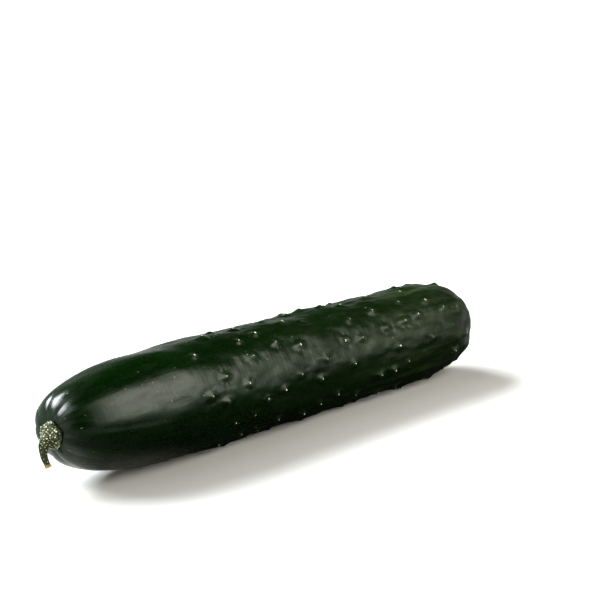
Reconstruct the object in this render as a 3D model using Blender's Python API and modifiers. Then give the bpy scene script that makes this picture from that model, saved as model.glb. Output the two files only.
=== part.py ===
# A slicing cucumber as picked, lying on its side: one warty fruit and the warty stub of its stalk.
# Metres, +Z up. The fruit runs along X, with its stalk at -X and its blossom end at +X, and it
# rests on Z = 0. Angles round the fruit start at the top and turn towards +Y, the far side.

import math
import random

import bmesh
import bpy
from mathutils import Vector

MM = 0.001

# Fruit: a round body that narrows a little towards the blossom, with a long dome at the stalk
# and a blunt one at the blossom. Each dome is a superellipse.
FRUIT_LENGTH = 234 * MM
FRUIT_RADIUS = 23.0 * MM
FRUIT_TAPER = 0.117
STALK_DOME = 92 * MM
STALK_DOME_POWER = 3.1
BLOSSOM_DOME = 35 * MM
BLOSSOM_DOME_POWER = 2.8
BOW = 1.6 * MM
SAG = 0.9 * MM
FLAT_DEPTH = 0.3 * MM
STALK_SEAT_RADIUS = 5.4 * MM

# The fruit's place, which puts the middle of the whole box at X = 0 and Y = 0.
SEAT_X = -113.674 * MM
MIDDLE_Y = -0.737 * MM

# Relief of the skin: three carpels, ten vascular ribs, furrows at both ends and slow waves.
CARPELS = 3
CARPEL_HEIGHT = 0.30 * MM
CARPEL_ANGLE = math.radians(200)
RIBS = 10
RIB_HEIGHT = 0.13 * MM
RIB_ANGLE = math.radians(8)
FURROW_DEPTH = 1.2 * MM
FURROW_LENGTH = 9 * MM
BLOSSOM_FURROW_DEPTH = 0.45 * MM
BLOSSOM_FURROW_LENGTH = 6 * MM
WAVE_HEIGHT = 0.10 * MM
WAVE_COUNT = 7

# Warts: a low oval bump in a shallow ring, none near the stalk and most past the middle. None
# grows on the strip that the fruit lies on.
WART_SEED = 27
WART_COUNT = 128
WART_SPACING = 8.2 * MM
WARTS_BEGIN = 52 * MM
WARTS_FULL = 84 * MM
WARTS_END = 223 * MM
WART_HEIGHT = (0.55 * MM, 1.15 * MM)
WART_WIDTH = 1.25 * MM
WART_STRETCH = 1.45
WART_RING_RADIUS = 2.6 * MM
WART_RING_DEPTH = 0.16 * MM
BARE_STRIP = math.radians(14)

# Scar where the flower dried off: a sunk disc with a low rim.
BLOSSOM_SCAR_RADIUS = 2.8 * MM
BLOSSOM_SCAR_DEPTH = 0.55 * MM
BLOSSOM_RIM_RADIUS = 4.4 * MM
BLOSSOM_RIM_HEIGHT = 0.2 * MM

# Stalk: a swollen, ribbed base like a button, out of which a thin stub droops to a flared cut
# end. The base is given as distances from the seat and radii, and the stub as places from the
# middle of the seat and radii.
STALK_GAP = 0.3 * MM
BASE_SHIFT = Vector((0.0, -0.8, -0.4)) * MM
BASE_PROFILE = ((0.0, 4.9), (0.6, 5.2), (1.3, 5.1), (2.0, 4.5), (2.6, 3.5), (3.0, 2.1), (3.15, 0.9))
STUB_STATIONS = (
    ((-1.3, -0.6, -1.2), 2.3),
    ((-2.8, -0.6, -1.8), 2.2),
    ((-4.0, -0.6, -3.1), 1.8),
    ((-4.4, -0.6, -4.7), 1.45),
    ((-4.4, -0.7, -6.4), 1.2),
    ((-4.2, -1.0, -8.2), 1.05),
    ((-3.9, -1.5, -9.7), 0.98),
    ((-3.6, -2.2, -11.0), 1.05),
    ((-3.5, -2.5, -11.7), 1.25),
)
STALK_RIBS = 5
STALK_RIB_SHARE = 0.06
STALK_WARTS = 110
STALK_WART_RADIUS = (0.36 * MM, 0.50 * MM)
STALK_WART_SPACING = 1.2 * MM
STALK_WART_SINK = 0.30
STALK_WART_SEED = 5
BASE_BOTTOM = 5.8 * MM

# Fineness of the meshes.
FRUIT_SIDES = 40
BODY_STEP = 6.6 * MM
FINE_REACH = (3.1 * MM, 1.9 * MM)
BASE_SIDES = 24
STUB_SIDES = 15
STUB_STEPS = 2


def clear_scene():
    for old in list(bpy.data.objects):
        bpy.data.objects.remove(old)


def make_material(name, colour, roughness):
    material = bpy.data.materials.new(name)
    material.use_nodes = True
    shader = material.node_tree.nodes["Principled BSDF"]
    shader.inputs["Base Color"].default_value = (*colour, 1)
    shader.inputs["Roughness"].default_value = roughness
    shader.inputs["Metallic"].default_value = 0
    return material


def object_of(name, mesh, collection):
    made = bpy.data.objects.new(name, mesh)
    collection.objects.link(made)
    return made


def mesh_from(made):
    """The object's evaluated shape as a plain mesh."""
    graph = bpy.context.evaluated_depsgraph_get()
    return bpy.data.meshes.new_from_object(made.evaluated_get(graph))


# The fruit's turned shape. A place on it is how far along the fruit it is, and the angle.


def dome_share(distance, length, power):
    """How much of its full radius the fruit has, this far from a dome's tip."""
    left = max(0.0, 1 - distance / length)
    return (1 - left**power) ** (1 / power)


def dome_depth(share, length, power):
    """The distance from a dome's tip at which the fruit has this share of its full radius."""
    return length * (1 - (1 - share**power) ** (1 / power))


SEAT_AT = dome_depth(STALK_SEAT_RADIUS / FRUIT_RADIUS, STALK_DOME, STALK_DOME_POWER)


def full_radius(along):
    return FRUIT_RADIUS * (1 - FRUIT_TAPER * along / FRUIT_LENGTH)


def fruit_radius(along):
    along = min(max(along, 0.0), FRUIT_LENGTH)
    stalk_share = dome_share(along, STALK_DOME, STALK_DOME_POWER)
    blossom_share = dome_share(FRUIT_LENGTH - along, BLOSSOM_DOME, BLOSSOM_DOME_POWER)
    return full_radius(along) * stalk_share * blossom_share


def fruit_centre(along):
    """The middle of the fruit, which bows a little to the side and sags a little."""
    from_middle = 2 * along / FRUIT_LENGTH - 1
    side = MIDDLE_Y + BOW * (0.5 - from_middle**2)
    height = full_radius(along) - FLAT_DEPTH + SAG * from_middle**2
    return Vector((SEAT_X + along - SEAT_AT, side, height))


def outward(angle):
    return Vector((0, math.sin(angle), math.cos(angle)))


def skin_normal(along, angle):
    """The turned surface's own normal, which leans towards each tip."""
    step = 0.2 * MM
    before = max(along - step, 0.0)
    after = min(along + step, FRUIT_LENGTH)
    slope = (fruit_radius(after) - fruit_radius(before)) / (after - before)
    return (outward(angle) - slope * Vector((1, 0, 0))).normalized()


def skin_point(along, angle):
    return fruit_centre(along) + outward(angle) * fruit_radius(along)


# The skin's relief, as a height over the turned surface.


def furrow_share(angle):
    """1 in the narrow furrow between two ribs, and 0 on their rounded tops."""
    return 1 - abs(math.sin(RIBS / 2 * (angle - RIB_ANGLE))) ** 0.55


def make_waves():
    draw = random.Random(WART_SEED)
    waves = []
    for _ in range(WAVE_COUNT):
        turns = draw.randint(1, 6)
        length = draw.uniform(26, 70) * MM
        waves.append((turns, 2 * math.pi / length, draw.uniform(0, 2 * math.pi)))
    return waves


def skin_height(along, angle, waves):
    radius = fruit_radius(along)
    fade = min(1.0, radius / FRUIT_RADIUS) ** 2
    height = fade * CARPEL_HEIGHT * math.cos(CARPELS * (angle - CARPEL_ANGLE))
    height -= fade * RIB_HEIGHT * math.cos(RIBS * (angle - RIB_ANGLE))
    for turns, rate, phase in waves:
        height += fade * WAVE_HEIGHT * math.sin(turns * angle + rate * along + phase)
    # Furrows open at the edge of the stalk's seat, are deepest just past it, and fade out.
    past_seat = max(0.0, radius - STALK_SEAT_RADIUS) / STALK_SEAT_RADIUS
    opening = min(1.0, past_seat) if along < STALK_DOME else 0.0
    height -= FURROW_DEPTH * opening * furrow_share(angle) * math.exp(-along / FURROW_LENGTH)
    from_tip = FRUIT_LENGTH - along
    closing = min(1.0, radius / (2 * BLOSSOM_SCAR_RADIUS))
    fading = math.exp(-from_tip / BLOSSOM_FURROW_LENGTH)
    height -= BLOSSOM_FURROW_DEPTH * closing * furrow_share(angle) * fading
    if along > FRUIT_LENGTH / 2:
        height -= BLOSSOM_SCAR_DEPTH * math.exp(-((radius / BLOSSOM_SCAR_RADIUS) ** 4))
        height += BLOSSOM_RIM_HEIGHT * math.exp(-(((radius - BLOSSOM_RIM_RADIUS) / MM) ** 2))
    return height


def place_warts():
    """Warts drawn at random, each at least a spacing from the rest: (point, normal, height)."""
    draw = random.Random(WART_SEED)
    warts = []
    while len(warts) < WART_COUNT:
        along = draw.uniform(WARTS_BEGIN, WARTS_END)
        angle = draw.uniform(0, 2 * math.pi)
        height = draw.uniform(*WART_HEIGHT)
        chance = draw.random()
        under = abs(angle - math.pi) < BARE_STRIP
        crowding = min(1.0, (along - WARTS_BEGIN) / (WARTS_FULL - WARTS_BEGIN))
        if under or chance > crowding**1.5:
            continue
        point = skin_point(along, angle)
        if all((point - other).length > WART_SPACING for other, _, _ in warts):
            warts.append((point, skin_normal(along, angle), height * (0.6 + 0.4 * crowding)))
    return warts


def wart_height(point, warts):
    """The warts' part of the height at a point of the turned surface."""
    height = 0.0
    for middle, normal, tall in warts:
        away = point - middle
        if away.length > 3 * WART_RING_RADIUS:
            continue
        lengthways = (Vector((1, 0, 0)) - normal * normal.x).normalized()
        along = away.dot(lengthways)
        across = math.sqrt(max(0.0, away.length_squared - along * along))
        reach = math.hypot(along / WART_STRETCH, across)
        height += tall * math.exp(-((reach / WART_WIDTH) ** 2))
        ring = (reach - WART_RING_RADIUS) / (0.5 * WART_RING_RADIUS)
        height -= WART_RING_DEPTH * math.exp(-ring * ring)
    return height


# The fruit's mesh: a profile turned by a Screw, made finer at the warts, then raised.


def fruit_stations():
    """Distances along the fruit for the profile's points, even over the skin of the domes."""
    stalk_shares = (0.2817, 0.38, 0.49, 0.60, 0.71, 0.81, 0.89, 0.95)
    blossom_shares = (0.96, 0.89, 0.80, 0.69, 0.58, 0.47, 0.37, 0.29, 0.22, 0.165, 0.12, 0.07)
    stations = [SEAT_AT]
    stations += [dome_depth(share, STALK_DOME, STALK_DOME_POWER) for share in stalk_shares]
    depths = [dome_depth(share, BLOSSOM_DOME, BLOSSOM_DOME_POWER) for share in blossom_shares]
    first, last = stations[-1], FRUIT_LENGTH - depths[0]
    steps = round((last - first) / BODY_STEP)
    stations += [first + (last - first) * i / steps for i in range(1, steps)]
    return stations + [FRUIT_LENGTH - depth for depth in depths]


def turned_mesh(profile, sides, helpers):
    """A profile of (radius, distance) turned about local Z, with the distance down -Z."""
    mesh = bpy.data.meshes.new("profile")
    edges = [(i, i + 1) for i in range(len(profile) - 1)]
    mesh.from_pydata([(radius, 0, -distance) for radius, distance in profile], edges, [])
    turned = object_of("profile", mesh, helpers)
    screw = turned.modifiers.new("turn", "SCREW")
    screw.steps = sides
    screw.render_steps = sides
    screw.use_merge_vertices = True
    screw.merge_threshold = 0.00001
    bpy.context.view_layer.update()
    made = mesh_from(turned)
    bpy.data.objects.remove(turned)
    return made


def refine_at_warts(shape, warts):
    """Splits the edges near each wart, more finely the nearer they are."""
    for reach in FINE_REACH:
        near = []
        for edge in shape.edges:
            middle = (edge.verts[0].co + edge.verts[1].co) / 2
            along, angle = -middle.z, math.atan2(middle.y, middle.x)
            point = skin_point(along, angle)
            if any((point - wart).length < reach + edge.calc_length() / 2 for wart, _, _ in warts):
                near.append(edge)
        bmesh.ops.subdivide_edges(shape, edges=near, cuts=1, use_grid_fill=True)


def raise_skin(shape, warts):
    """Moves each vertex from the turned shape to its place on the real skin."""
    waves = make_waves()
    for vertex in shape.verts:
        along = min(max(-vertex.co.z, SEAT_AT), FRUIT_LENGTH)
        angle = math.atan2(vertex.co.y, vertex.co.x)
        in_seat = along < SEAT_AT + 0.01 * MM
        if in_seat:
            reach = math.hypot(vertex.co.x, vertex.co.y)
            vertex.co = fruit_centre(SEAT_AT) + outward(angle) * reach
            continue
        point = skin_point(along, angle)
        height = skin_height(along, angle, waves) + wart_height(point, warts)
        vertex.co = point + skin_normal(along, angle) * height
        vertex.co.z = max(vertex.co.z, 0.0)


def build_fruit(parts, helpers):
    profile = [(0.0, SEAT_AT)]
    profile += [(fruit_radius(along), along) for along in fruit_stations()]
    profile.append((0.0, FRUIT_LENGTH))
    mesh = turned_mesh(profile, FRUIT_SIDES, helpers)
    shape = bmesh.new()
    shape.from_mesh(mesh)
    bmesh.ops.remove_doubles(shape, verts=shape.verts, dist=0.00001)
    warts = place_warts()
    refine_at_warts(shape, warts)
    raise_skin(shape, warts)
    bmesh.ops.triangulate(shape, faces=shape.faces)
    bmesh.ops.recalc_face_normals(shape, faces=shape.faces)
    shape.to_mesh(mesh)
    shape.free()
    mesh.shade_smooth()
    fruit = object_of("fruit", mesh, parts)
    fruit.data.materials.append(make_material("cucumber skin", (0.011, 0.032, 0.006), 0.32))
    return fruit


# The stalk: a turned base and a stub along a curve, with small warts, each joined on by a union.


def stalk_root():
    return fruit_centre(SEAT_AT) - Vector((STALK_GAP, 0, 0))


def rib_swell(angle):
    return 1 + STALK_RIB_SHARE * math.cos(STALK_RIBS * angle)


def tidy_solid(mesh):
    """Welds, triangulates and turns the faces outward."""
    shape = bmesh.new()
    shape.from_mesh(mesh)
    bmesh.ops.remove_doubles(shape, verts=shape.verts, dist=0.00002)
    bmesh.ops.triangulate(shape, faces=shape.faces)
    bmesh.ops.recalc_face_normals(shape, faces=shape.faces)
    shape.to_mesh(mesh)
    shape.free()
    return mesh


def base_mesh(helpers):
    """The swollen base, turned about the fruit's axis, with its ribs raised."""
    profile = [(0.0, 0.0)]
    profile += [(radius * MM, distance * MM) for distance, radius in BASE_PROFILE]
    profile.append((0.0, BASE_PROFILE[-1][0] * MM))
    mesh = turned_mesh(profile, BASE_SIDES, helpers)
    middle = stalk_root() + BASE_SHIFT
    for vertex in mesh.vertices:
        reach = math.hypot(vertex.co.x, vertex.co.y)
        angle = math.atan2(vertex.co.y, vertex.co.x)
        away = outward(angle) * reach * rib_swell(angle)
        vertex.co = middle + Vector((vertex.co.z, 0, 0)) + away
    return tidy_solid(mesh)


def stub_mesh(helpers):
    """The drooping stub: a curve whose ribbed outline is scaled at each station."""
    outline = bpy.data.curves.new("stub_outline", "CURVE")
    outline.dimensions = "2D"
    ring = outline.splines.new("POLY")
    ring.points.add(STUB_SIDES - 1)
    for i, point in enumerate(ring.points):
        angle = 2 * math.pi * i / STUB_SIDES
        radius = rib_swell(angle)
        point.co = (radius * math.cos(angle), radius * math.sin(angle), 0, 1)
    ring.use_cyclic_u = True
    outline_object = bpy.data.objects.new("stub_outline", outline)
    helpers.objects.link(outline_object)
    curve = bpy.data.curves.new("stub_line", "CURVE")
    curve.dimensions = "3D"
    curve.resolution_u = STUB_STEPS
    curve.bevel_mode = "OBJECT"
    curve.bevel_object = outline_object
    curve.use_fill_caps = True
    spline = curve.splines.new("BEZIER")
    spline.bezier_points.add(len(STUB_STATIONS) - 1)
    for point, (place, radius) in zip(spline.bezier_points, STUB_STATIONS):
        point.co = stalk_root() + Vector(place) * MM
        point.radius = radius * MM
        point.handle_left_type = point.handle_right_type = "AUTO"
    line = object_of("stub_line", curve, helpers)
    bpy.context.view_layer.update()
    mesh = mesh_from(line)
    bpy.data.objects.remove(line)
    bpy.data.objects.remove(outline_object)
    return tidy_solid(mesh)


def join_meshes(stalk, meshes, helpers):
    """Joins the meshes onto the stalk by one union with a collection, which is then emptied."""
    group = bpy.data.collections.new("to join")
    helpers.children.link(group)
    for mesh in meshes:
        object_of("to join", mesh, group).hide_render = True
    union = stalk.modifiers.new("join", "BOOLEAN")
    union.operation = "UNION"
    union.operand_type = "COLLECTION"
    union.collection = group
    union.solver = "EXACT"
    bpy.context.view_layer.update()
    joined = mesh_from(stalk)
    stalk.modifiers.clear()
    stalk.data = tidy_solid(joined)
    for made in list(group.objects):
        bpy.data.objects.remove(made)


def place_stalk_warts(mesh):
    """Warts drawn evenly over the skin, clear of each other, the seat and the cut end."""
    draw = random.Random(STALK_WART_SEED)
    root = stalk_root()
    cut = root + Vector(STUB_STATIONS[-1][0]) * MM
    faces = list(mesh.polygons)
    areas = [face.area for face in faces]
    warts = []
    for face in draw.choices(faces, weights=areas, k=60 * STALK_WARTS):
        first, second, third = (mesh.vertices[i].co for i in face.vertices)
        over, up = sorted((draw.random(), draw.random()))
        point = first * over + second * (up - over) + third * (1 - up)
        radius = draw.uniform(*STALK_WART_RADIUS)
        spacing = STALK_WART_SPACING
        if root.z - point.z > BASE_BOTTOM:
            radius *= 0.7
            spacing *= 1.5
        if root.x - point.x < 0.6 * MM or (point - cut).length < 2.0 * MM:
            continue
        if all((point - other).length > spacing for other, _, _ in warts):
            warts.append((point, face.normal.copy(), radius))
        if len(warts) == STALK_WARTS:
            break
    return warts


def wart_mesh(point, normal, radius):
    """A small bead sunk into the skin."""
    mesh = bpy.data.meshes.new("stalk wart")
    shape = bmesh.new()
    bmesh.ops.create_icosphere(shape, subdivisions=1, radius=radius)
    middle = point - normal * radius * STALK_WART_SINK
    bmesh.ops.translate(shape, verts=shape.verts, vec=middle)
    shape.to_mesh(mesh)
    shape.free()
    return mesh


def build_stalk(parts, helpers):
    stalk = object_of("stalk", base_mesh(helpers), parts)
    join_meshes(stalk, [stub_mesh(helpers)], helpers)
    join_meshes(stalk, [wart_mesh(*wart) for wart in place_stalk_warts(stalk.data)], helpers)
    stalk.data.shade_smooth()
    stalk.data.set_sharp_from_angle(angle=math.radians(40))
    stalk.data.materials.append(make_material("stalk skin", (0.15, 0.17, 0.06), 0.7))
    return stalk


def build_cucumber():
    clear_scene()
    parts = bpy.data.collections.new("cucumber")
    helpers = bpy.data.collections.new("helpers")
    for collection in (parts, helpers):
        bpy.context.scene.collection.children.link(collection)
    build_fruit(parts, helpers)
    build_stalk(parts, helpers)


build_cucumber()
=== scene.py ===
# The cucumber as in the photograph: glossy warty fruit, dry beaded stalk, white table, soft light.
# Metres, +Z up. The fruit lies along X, stalk end at -X. Angles round it start at the top and
# turn towards +Y, the side away from the camera.
import bpy
import bmesh
import math
import random
import numpy as np
from mathutils import Matrix, Vector, noise
from mathutils.bvhtree import BVHTree


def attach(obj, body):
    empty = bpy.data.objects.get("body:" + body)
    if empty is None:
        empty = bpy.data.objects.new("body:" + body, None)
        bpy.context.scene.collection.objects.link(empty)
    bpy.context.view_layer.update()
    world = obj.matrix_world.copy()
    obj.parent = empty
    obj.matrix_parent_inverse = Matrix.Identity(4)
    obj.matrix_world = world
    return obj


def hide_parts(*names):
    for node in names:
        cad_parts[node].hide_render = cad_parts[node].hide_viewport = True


mm = 0.001

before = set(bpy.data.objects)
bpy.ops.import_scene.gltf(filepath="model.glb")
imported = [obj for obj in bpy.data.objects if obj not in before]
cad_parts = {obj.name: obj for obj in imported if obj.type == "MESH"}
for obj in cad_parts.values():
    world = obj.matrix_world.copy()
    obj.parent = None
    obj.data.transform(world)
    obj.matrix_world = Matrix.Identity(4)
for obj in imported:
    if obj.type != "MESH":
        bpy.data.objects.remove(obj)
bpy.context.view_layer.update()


def linearColour(hexColour):
    parts = [int(hexColour[i:i + 2], 16) / 255 for i in (1, 3, 5)]
    return tuple(c / 12.92 if c <= 0.04045 else ((c + 0.055) / 1.055) ** 2.4 for c in parts) + (1.0,)


def addNode(tree, kind, settings=None, links=None):
    # settings: the node's own values, or its sockets' by name or number
    # links: what feeds each socket; of a node, its first output in use
    # a colour Mix has its share in socket 0, its first colour in 6 and its second in 7
    node = tree.nodes.new("ShaderNode" + kind)
    for name, value in (settings or {}).items():
        if isinstance(name, str) and hasattr(node, name):
            setattr(node, name, value)
        else:
            node.inputs[name].default_value = value
    for name, source in (links or {}).items():
        if isinstance(source, bpy.types.Node):
            source = next(output for output in source.outputs if output.enabled)
        tree.links.new(source, node.inputs[name])
    return node


def newMaterial(name):
    material = bpy.data.materials.new(name)
    material.use_nodes = True
    return material, material.node_tree, material.node_tree.nodes["Principled BSDF"]


def pieceFrom(bm, name, material):
    mesh = bpy.data.meshes.new(name)
    bm.to_mesh(mesh)
    bm.free()
    mesh.shade_smooth()
    piece = bpy.data.objects.new(name, mesh)
    bpy.context.scene.collection.objects.link(piece)
    mesh.materials.append(material)
    return piece


# The fruit: the same turned shape and relief as the solid, with finer relief on top.
fruit = {
    "length": 234 * mm, "radius": 23.0 * mm, "taper": 0.117,
    "stalkDome": 92 * mm, "stalkPower": 3.1, "blossomDome": 35 * mm, "blossomPower": 2.8,
    "bow": 1.6 * mm, "sag": 0.9 * mm, "flat": 0.3 * mm, "seatRadius": 5.4 * mm,
    "seatX": -113.674 * mm, "middleY": -0.737 * mm,
    "carpels": 3, "carpelHeight": 0.30 * mm, "carpelAngle": math.radians(200),
    "ribs": 10, "ribHeight": 0.13 * mm, "ribAngle": math.radians(8),
    # the furrows at the stalk are shallower and narrower than the solid's, and turned a little
    "furrowDepth": 0.50 * mm, "furrowLength": 9 * mm, "furrowSharpness": 0.75,
    "furrowAngle": math.radians(17), "blossomFurrowDepth": 0.45 * mm, "blossomFurrowLength": 6 * mm,
    "waveHeight": 0.10 * mm, "waveCount": 7, "waveTurns": (1, 6), "waveLength": (26, 70),
    "scarRadius": 2.8 * mm, "scarDepth": 0.55 * mm, "rimRadius": 4.4 * mm, "rimHeight": 0.2 * mm,
    "sides": 150, "step": 1.15 * mm, "arcSamples": 40001, "fineReach": (3.4 * mm, 1.5 * mm),
    # one crease low on the near flank, with a low ridge below it
    "creaseFrom": (8 * mm, math.radians(279)), "creaseTo": (52 * mm, math.radians(273)),
    "creaseWidth": 1.0 * mm, "creaseDepth": 0.14 * mm, "creaseRidge": 0.13 * mm, "ridgeBelow": 2.1 * mm,
    "creaseFades": (6 * mm, 18 * mm),
    # the far side of the stalk end bulges a little past the stalk
    "shoulder": 1.0 * mm, "shoulderAngle": math.radians(70), "shoulderReach": 11 * mm,
    "shoulderWidth": 4.5 * mm, "shoulderEnd": 40 * mm,
    # dents: how many to a metre along and across, a shift that sets them apart, and their share
    "dentHeight": 0.30 * mm, "dents": ((75, 150, 0, 1.0), (170, 330, 7, 0.6), (400, 520, 3, 0.22)),
    "dentAlong": (30 * mm, 80 * mm, 200 * mm), "dentGrowth": (0.32, 1, 2.2), "dentFrom": 8 * mm,
}
warts = {
    "seed": 27, "count": 128, "spacing": 8.2 * mm,
    "begin": 52 * mm, "full": 84 * mm, "end": 223 * mm,
    "height": (0.55 * mm, 1.15 * mm), "stretch": 1.45,
    "ringRadius": 2.6 * mm, "ringDepth": 0.19 * mm, "bareStrip": math.radians(14), "coneWidth": 1.7 * mm,
    # finer than the solid's: each wart is drawn out towards the stalk, with a pit behind its tip
    # and puckered skin round it, and some of the low ones are only the pit of a spine
    "skirt": 2.1 * mm, "skirtShare": 0.44, "skew": (2.4, 1.0), "peakWidth": 0.55 * mm,
    "peakShare": 0.14, "topRadius": 0.9 * mm,
    "pitDepth": 0.34 * mm, "pitRadius": 0.85 * mm, "pitBehind": 1.35 * mm,
    "pucker": 0.04 * mm, "puckerRadius": 2.7 * mm, "puckerWidth": 1.3 * mm, "folds": (6, 9),
    "craterBelow": 0.62 * mm, "craterRadius": 1.0 * mm, "craterShare": 0.75,
    "craterRim": 0.05 * mm, "craterRimRadius": 1.35 * mm, "craterRimWidth": 0.5 * mm,
}


def domeShare(distance, length, power):
    left = np.clip(1 - distance / length, 0, 1)
    return (1 - left ** power) ** (1 / power)


def domeDepth(share, length, power):
    return length * (1 - (1 - share ** power) ** (1 / power))


seatAt = domeDepth(fruit["seatRadius"] / fruit["radius"], fruit["stalkDome"], fruit["stalkPower"])


def fullRadius(along):
    return fruit["radius"] * (1 - fruit["taper"] * along / fruit["length"])


def fruitRadius(along):
    along = np.clip(along, 0, fruit["length"])
    stalkShare = domeShare(along, fruit["stalkDome"], fruit["stalkPower"])
    blossomShare = domeShare(fruit["length"] - along, fruit["blossomDome"], fruit["blossomPower"])
    return fullRadius(along) * stalkShare * blossomShare


def fruitCentre(along):
    fromMiddle = 2 * along / fruit["length"] - 1
    side = fruit["middleY"] + fruit["bow"] * (0.5 - fromMiddle ** 2)
    height = fullRadius(along) - fruit["flat"] + fruit["sag"] * fromMiddle ** 2
    return np.stack([fruit["seatX"] + along - seatAt, side, height], -1)


def outward(angle):
    return np.stack([np.zeros_like(angle), np.sin(angle), np.cos(angle)], -1)


def skinNormal(along, angle):
    before = np.maximum(along - 0.2 * mm, 0)
    after = np.minimum(along + 0.2 * mm, fruit["length"])
    slope = (fruitRadius(after) - fruitRadius(before)) / (after - before)
    normal = outward(angle)
    normal[..., 0] = -slope
    return normal / np.linalg.norm(normal, axis=-1, keepdims=True)


def skinPoint(along, angle):
    return fruitCentre(along) + outward(angle) * fruitRadius(along)[..., None]


def furrowShare(along, angle):
    # 1 in a furrow and 0 on a rib
    first = np.where(along < fruit["length"] / 2, fruit["furrowAngle"], fruit["ribAngle"])
    return 1 - np.abs(np.sin(fruit["ribs"] / 2 * (angle - first))) ** fruit["furrowSharpness"]


def makeWaves():
    draw = random.Random(warts["seed"])
    waves = []
    for _ in range(fruit["waveCount"]):
        turns = draw.randint(*fruit["waveTurns"])
        length = draw.uniform(*fruit["waveLength"]) * mm
        waves.append((turns, 2 * math.pi / length, draw.uniform(0, 2 * math.pi)))
    return waves


def skinHeight(along, angle):
    radius = fruitRadius(along)
    fade = np.minimum(1.0, radius / fruit["radius"]) ** 2
    height = fade * fruit["carpelHeight"] * np.cos(fruit["carpels"] * (angle - fruit["carpelAngle"]))
    height = height - fade * fruit["ribHeight"] * np.cos(fruit["ribs"] * (angle - fruit["ribAngle"]))
    for turns, rate, phase in makeWaves():
        height += fade * fruit["waveHeight"] * np.sin(turns * angle + rate * along + phase)
    pastSeat = np.maximum(0, radius - fruit["seatRadius"]) / fruit["seatRadius"]
    opening = np.where(along < fruit["stalkDome"], np.minimum(1, pastSeat), 0)
    furrow = furrowShare(along, angle)
    height -= fruit["furrowDepth"] * opening * furrow * np.exp(-along / fruit["furrowLength"])
    closing = np.minimum(1, radius / (2 * fruit["scarRadius"]))
    fading = np.exp(-(fruit["length"] - along) / fruit["blossomFurrowLength"])
    height -= fruit["blossomFurrowDepth"] * closing * furrow * fading
    scar = -fruit["scarDepth"] * np.exp(-((radius / fruit["scarRadius"]) ** 4))
    scar += fruit["rimHeight"] * np.exp(-(((radius - fruit["rimRadius"]) / mm) ** 2))
    return height + np.where(along > fruit["length"] / 2, scar, 0)


def placeWarts():
    # the solid's own rule and draws, so that each wart is where the solid has it
    draw = random.Random(warts["seed"])
    placed = []
    while len(placed) < warts["count"]:
        along = draw.uniform(warts["begin"], warts["end"])
        angle = draw.uniform(0, 2 * math.pi)
        height = draw.uniform(*warts["height"])
        chance = draw.random()
        under = abs(angle - math.pi) < warts["bareStrip"]
        crowding = min(1.0, (along - warts["begin"]) / (warts["full"] - warts["begin"]))
        if under or chance > crowding ** 1.5:
            continue
        point = skinPoint(np.float64(along), np.float64(angle))
        if all(np.linalg.norm(point - other[0]) > warts["spacing"] for other in placed):
            normal = skinNormal(np.float64(along), np.float64(angle))
            placed.append((point, normal, height * (0.6 + 0.4 * crowding), along, angle))
    return placed


def wartRelief(points, placed):
    # height, and how near the top of a wart each point is
    height = np.zeros(len(points))
    top = np.zeros(len(points))
    draw = random.Random(warts["seed"] + 1)
    for middle, normal, tall, _, _ in placed:
        lean, depth, side = draw.uniform(-1, 1), draw.random(), draw.uniform(0, 2 * math.pi)
        folds = draw.randint(*warts["folds"])
        crater = tall < warts["craterBelow"] and depth > 0.3
        away = points - middle
        near = np.flatnonzero((away ** 2).sum(1) < (3 * warts["ringRadius"]) ** 2)
        away = away[near]
        lengthways = np.array([1.0, 0, 0]) - normal * normal[0]
        lengthways /= np.linalg.norm(lengthways)
        crossways = np.cross(normal, lengthways)
        along, across = away @ lengthways, away @ crossways
        across = np.sqrt(np.maximum(0, (away ** 2).sum(1) - along ** 2)) * np.sign(across)
        reach = np.hypot(along / warts["stretch"], across)
        ring = (reach - warts["ringRadius"]) / (0.5 * warts["ringRadius"])
        body = (1 - warts["skirtShare"]) * tall * np.exp(-((reach / warts["coneWidth"]) ** 2))
        body -= warts["ringDepth"] * np.exp(-ring * ring)
        skewed = np.hypot(along / np.where(along < 0, *warts["skew"]), across)
        body += warts["skirtShare"] * tall * np.exp(-np.hypot(skewed, 0.3 * mm) / warts["skirt"])
        peakReach = np.hypot(along - lean * 0.2 * mm, across)
        body += warts["peakShare"] * tall * np.exp(-((peakReach / warts["peakWidth"]) ** 2))
        pitAway = np.hypot(along - warts["pitBehind"], (across - 0.5 * lean * mm) / 1.3)
        body -= (0.3 + depth) * warts["pitDepth"] * np.exp(-((pitAway / warts["pitRadius"]) ** 2))
        if crater:
            rim = (reach - warts["craterRimRadius"]) / warts["craterRimWidth"]
            hollow = np.exp(-((reach / warts["craterRadius"]) ** 4))
            body += warts["craterRim"] * np.exp(-rim * rim) - warts["craterShare"] * tall * hollow
        crease = np.cos(folds * np.arctan2(across, along) + side)
        around = (reach - warts["puckerRadius"]) / warts["puckerWidth"]
        body += warts["pucker"] * crease * np.exp(-(around ** 2))
        height[near] += body
        top[near] = np.maximum(top[near], np.exp(-((peakReach / warts["topRadius"]) ** 2)))
    return height, top


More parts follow.
